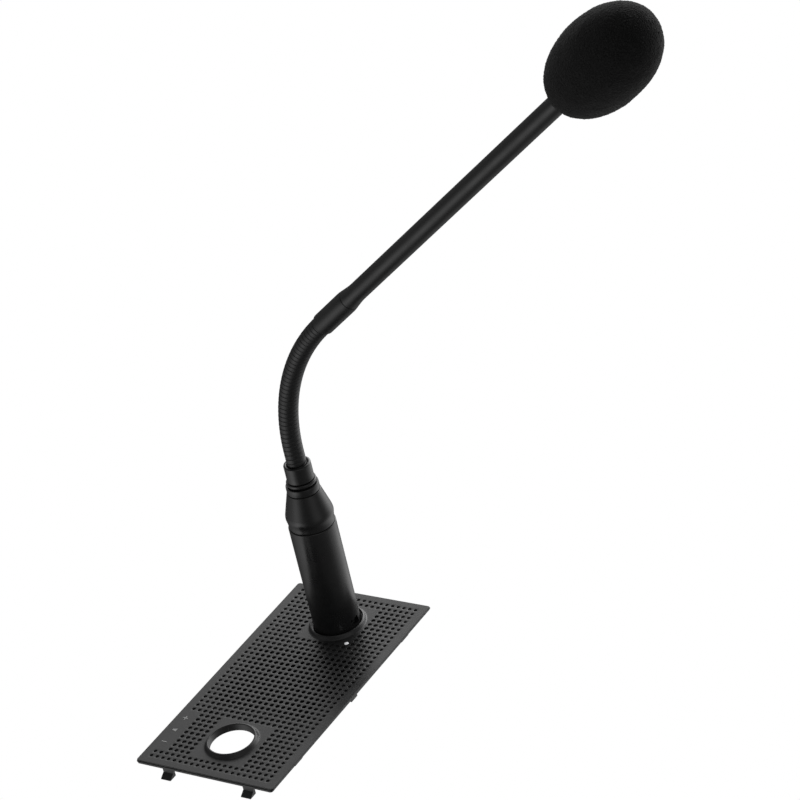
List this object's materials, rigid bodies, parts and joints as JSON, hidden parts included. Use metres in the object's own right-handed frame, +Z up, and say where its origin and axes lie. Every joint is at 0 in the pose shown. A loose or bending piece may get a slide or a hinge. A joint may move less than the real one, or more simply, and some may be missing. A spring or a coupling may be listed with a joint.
{
  "type": "desktop microphone",
  "caption": "Plug-in gooseneck microphone with a foam windscreen, standing in the raised socket ring of a perforated snap-in cover panel with a second, open control ring.",
  "frame": {"origin": "centre of the cover panel's flat underside", "axes": "+X along the panel's long side toward the microphone, -Y the side the microphone leans to, +Z up out of the panel"},
  "size_m": [0.123, 0.2226, 0.3023],
  "materials": {
    "panel_plastic": "satin moulded black, fine grain",
    "black_cloth": "fine woven acoustic cloth",
    "white_ink": "flat pad-printed ink",
    "light_pipe": "diffusing white acrylic",
    "led_body": "moulded lamp package",
    "black_plastic": "semi-matt moulded",
    "contact_silver": "silver plated",
    "screw_steel": "zinc plated",
    "board_green": "solder mask over glass laminate",
    "black_metal": "satin black plated",
    "hose_metal": "black coated spiral hose",
    "cable_jacket": "soft jacket",
    "capsule_metal": "bare turned",
    "boot_rubber": "soft black",
    "foam": "open-cell foam with a fine fuzzy skin"
  },
  "bodies": {
    "panel": {"cover_panel": "panel_plastic", "acoustic_cloth": "black_cloth", "minus_symbol": "white_ink", "loudspeaker_symbol": "white_ink", "plus_symbol": "white_ink", "indicator_light_pipe": "light_pipe", "indicator_led": "led_body", "socket_housing": "black_plastic", "socket_face": "black_plastic", "socket_contacts": "contact_silver", "socket_screws": "screw_steel", "socket_board": "board_green", "board_connector": "black_plastic", "connector_pins": "contact_silver"},
    "plug": {"plug_barrel": "black_metal", "plug_insert": "black_plastic", "plug_pins": "contact_silver", "insert_screw": "screw_steel", "cable_chuck": "black_plastic", "coupling_cone": "black_metal", "clamp_ring": "black_metal", "bead_ring": "black_metal", "neck_collar": "black_metal", "stem_bushing": "black_metal", "base_cable": "cable_jacket", "gooseneck_root": "hose_metal"},
    "link_1": {"gooseneck_link_1": "hose_metal", "cable_in_link_1": "cable_jacket"},
    "link_2": {"gooseneck_link_2": "hose_metal", "cable_in_link_2": "cable_jacket"},
    "link_3": {"gooseneck_link_3": "hose_metal", "cable_in_link_3": "cable_jacket"},
    "link_4": {"gooseneck_link_4": "hose_metal", "cable_in_link_4": "cable_jacket"},
    "link_5": {"gooseneck_link_5": "hose_metal", "cable_in_link_5": "cable_jacket"},
    "link_6": {"gooseneck_link_6": "hose_metal", "cable_in_link_6": "cable_jacket"},
    "link_7": {"gooseneck_link_7": "hose_metal", "cable_in_link_7": "cable_jacket"},
    "link_8": {"gooseneck_link_8": "hose_metal", "cable_in_link_8": "cable_jacket"},
    "link_9": {"gooseneck_link_9": "hose_metal", "cable_in_link_9": "cable_jacket"},
    "head": {"gooseneck_tip": "hose_metal", "stalk_sleeve": "black_metal", "stalk_tube": "black_metal", "capsule_holder": "capsule_metal", "amplifier_board": "board_green", "capsule_boot": "boot_rubber", "capsule": "capsule_metal", "capsule_cap": "black_metal", "head_cable": "cable_jacket", "foam_windscreen": "foam"}
  },
  "joints": [
    {"name": "unplug", "type": "slide", "parent": "panel", "child": "plug", "axis": [0, 0, 1], "range_m": [0, 0.013]},
    {"name": "bend_1", "type": "hinge", "parent": "plug", "child": "link_1", "pos_m": [0.03915, 0, 0.08665], "axis": [1, 0, 0], "range_deg": [-9.95, 8.05], "stiffness_Nm_per_rad": 6},
    {"name": "sway_1", "type": "hinge", "parent": "link_1", "child": "link_2", "pos_m": [0.03915, -0.0006, 0.09352], "axis": [0, 0.9915, 0.1299], "range_deg": [-9, 9], "stiffness_Nm_per_rad": 6},
    {"name": "bend_2", "type": "hinge", "parent": "link_2", "child": "link_3", "pos_m": [0.03915, -0.00179, 0.10032], "axis": [1, 0, 0], "range_deg": [-9.95, 8.05], "stiffness_Nm_per_rad": 6},
    {"name": "sway_2", "type": "hinge", "parent": "link_3", "child": "link_4", "pos_m": [0.03915, -0.00357, 0.10698], "axis": [0, 0.9542, 0.2992], "range_deg": [-9, 9], "stiffness_Nm_per_rad": 6},
    {"name": "bend_3", "type": "hinge", "parent": "link_4", "child": "link_5", "pos_m": [0.03915, -0.00592, 0.11347], "axis": [1, 0, 0], "range_deg": [-9.95, 8.05], "stiffness_Nm_per_rad": 6},
    {"name": "sway_3", "type": "hinge", "parent": "link_5", "child": "link_6", "pos_m": [0.03915, -0.00882, 0.11973], "axis": [0, 0.8881, 0.4596], "range_deg": [-9, 9], "stiffness_Nm_per_rad": 6},
    {"name": "bend_4", "type": "hinge", "parent": "link_6", "child": "link_7", "pos_m": [0.03915, -0.01225, 0.12571], "axis": [1, 0, 0], "range_deg": [-9.95, 8.05], "stiffness_Nm_per_rad": 6},
    {"name": "sway_4", "type": "hinge", "parent": "link_7", "child": "link_8", "pos_m": [0.03915, -0.01619, 0.13137], "axis": [0, 0.7953, 0.6062], "range_deg": [-9, 9], "stiffness_Nm_per_rad": 6},
    {"name": "bend_5", "type": "hinge", "parent": "link_8", "child": "link_9", "pos_m": [0.03915, -0.02061, 0.13667], "axis": [1, 0, 0], "range_deg": [-9.95, 8.05], "stiffness_Nm_per_rad": 6},
    {"name": "sway_5", "type": "hinge", "parent": "link_9", "child": "head", "pos_m": [0.03915, -0.02547, 0.14157], "axis": [0, 0.6786, 0.7345], "range_deg": [-9, 9], "stiffness_Nm_per_rad": 6}
  ]
}
